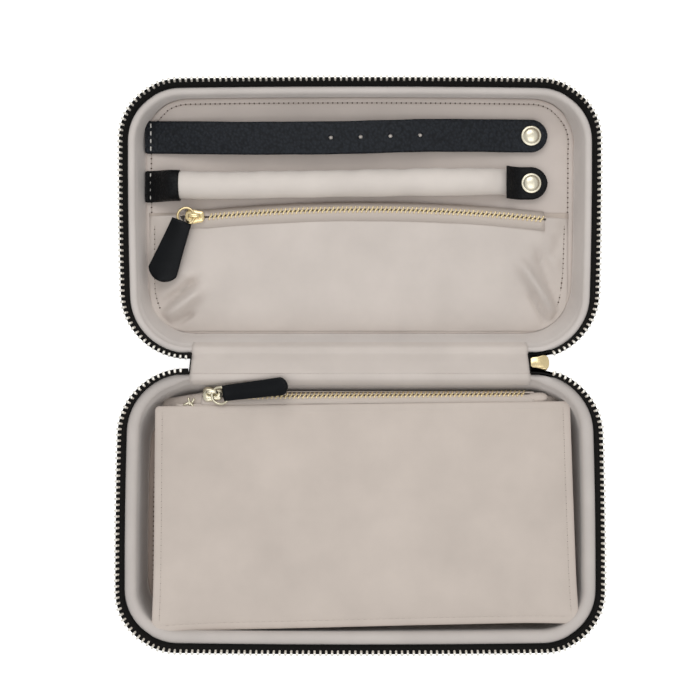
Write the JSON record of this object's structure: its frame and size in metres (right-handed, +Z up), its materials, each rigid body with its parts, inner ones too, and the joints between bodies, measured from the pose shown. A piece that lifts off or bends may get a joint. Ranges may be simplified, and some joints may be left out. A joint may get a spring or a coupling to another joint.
{
  "type": "travel jewelry box",
  "caption": "Zip-round travel jewelry case lying open: two padded trays on a folding spine, with an earring strap, ring roll, zipped pocket and lift-out zipped pouch.",
  "frame": {"origin": "middle of the hinge line, on the surface that the open case lies on", "axes": "+X to the right along the hinge, +Y from the base towards the lid, +Z up"},
  "size_m": [0.217, 0.2572, 0.0347],
  "materials": {
    "cover": "pebbled",
    "core": "plain",
    "lining": "microsuede",
    "panel": "microsuede",
    "tape": "woven",
    "teeth": "pale gold",
    "hardware": "polished pale gold",
    "black_leather": "pebbled",
    "roll": "microsuede",
    "padding": "felt",
    "pocket": "microsuede",
    "beige_tape": "woven",
    "pouch": "microsuede"
  },
  "bodies": {
    "base": {"base_cover": "cover", "base_core": "core", "base_lining": "lining", "base_floor_panel": "panel", "base_zip_tape": "tape", "base_zip_teeth": "teeth"},
    "spine": {"spine_cover": "cover", "spine_lining": "lining", "zip_end_tab": "tape", "main_slider": "hardware"},
    "main_pull": {"main_pull_ring": "hardware", "main_pull_leather": "black_leather"},
    "lid": {"lid_cover": "cover", "lid_core": "core", "lid_lining": "lining", "lid_floor_panel": "panel", "lid_zip_tape": "tape", "lid_zip_teeth": "teeth", "strap_snap_socket": "hardware", "roll_snap_socket": "hardware", "pocket": "pocket", "pocket_welt": "pocket", "pocket_zip_tape": "beige_tape", "pocket_zip_teeth": "teeth"},
    "strap": {"earring_strap": "black_leather", "strap_snap_cap": "hardware"},
    "roll": {"ring_roll": "roll", "ring_roll_core": "padding", "roll_sleeve": "black_leather", "roll_tab": "black_leather", "roll_snap_cap": "hardware"},
    "pocket_slide": {"pocket_slider": "hardware"},
    "pocket_pull": {"pocket_pull_ring": "hardware", "pocket_pull_leather": "black_leather"},
    "pouch": {"pouch_front_panel": "pouch", "pouch_back_panel": "pouch", "pouch_gusset": "pouch", "pouch_zip_gusset": "pouch", "pouch_zip_tape": "beige_tape", "pouch_zip_teeth": "teeth"},
    "pouch_slide": {"pouch_slider": "hardware"},
    "pouch_pull": {"pouch_pull_ring": "hardware", "pouch_pull_leather": "black_leather"}
  },
  "joints": [
    {"name": "spine_fold", "type": "hinge", "parent": "base", "child": "spine", "pos_m": [0, -0.0041, 0.028], "axis": [1, 0, 0], "range_deg": [0, 134.29]},
    {"name": "lid_fold", "type": "hinge", "parent": "spine", "child": "lid", "pos_m": [0, 0.0041, 0.02], "axis": [1, 0, 0], "range_deg": [0, 45.71]},
    {"name": "main_pull_swing", "type": "hinge", "parent": "spine", "child": "main_pull", "pos_m": [0.0801, -0.00096, 0.02043], "axis": [0, 0.9659, -0.2588], "range_deg": [-130, 0]},
    {"name": "strap_lift", "type": "hinge", "parent": "lid", "child": "strap", "pos_m": [-0.09458, 0.1044, 0.0046], "axis": [0, 1, 0], "range_deg": [-45, 0]},
    {"name": "roll_lift", "type": "hinge", "parent": "lid", "child": "roll", "pos_m": [-0.09458, 0.0826, 0.0046], "axis": [0, 1, 0], "range_deg": [-60, 0]},
    {"name": "pocket_slider_travel", "type": "slide", "parent": "lid", "child": "pocket_slide", "axis": [-1, 0, 0], "range_m": [-0.146, 0]},
    {"name": "pocket_pull_swing", "type": "hinge", "parent": "pocket_slide", "child": "pocket_pull", "pos_m": [-0.0755, 0.067, 0.0129], "axis": [0, -1, 0], "range_deg": [-150, 0]},
    {"name": "pouch_lift", "type": "slide", "parent": "base", "child": "pouch", "axis": [0, 0, -1], "range_m": [-0.06, 0]},
    {"name": "pouch_slider_travel", "type": "slide", "parent": "pouch", "child": "pouch_slide", "axis": [-1, 0, 0], "range_m": [-0.122, 0]},
    {"name": "pouch_pull_swing", "type": "hinge", "parent": "pouch_slide", "child": "pouch_pull", "pos_m": [-0.066, -0.0142, 0.0255], "axis": [0, 0.9903, 0.1392], "range_deg": [-150, 0]}
  ],
  "couplings": [
    {"joint": "lid_fold", "follows": "spine_fold", "ratio": 0.34038}
  ]
}
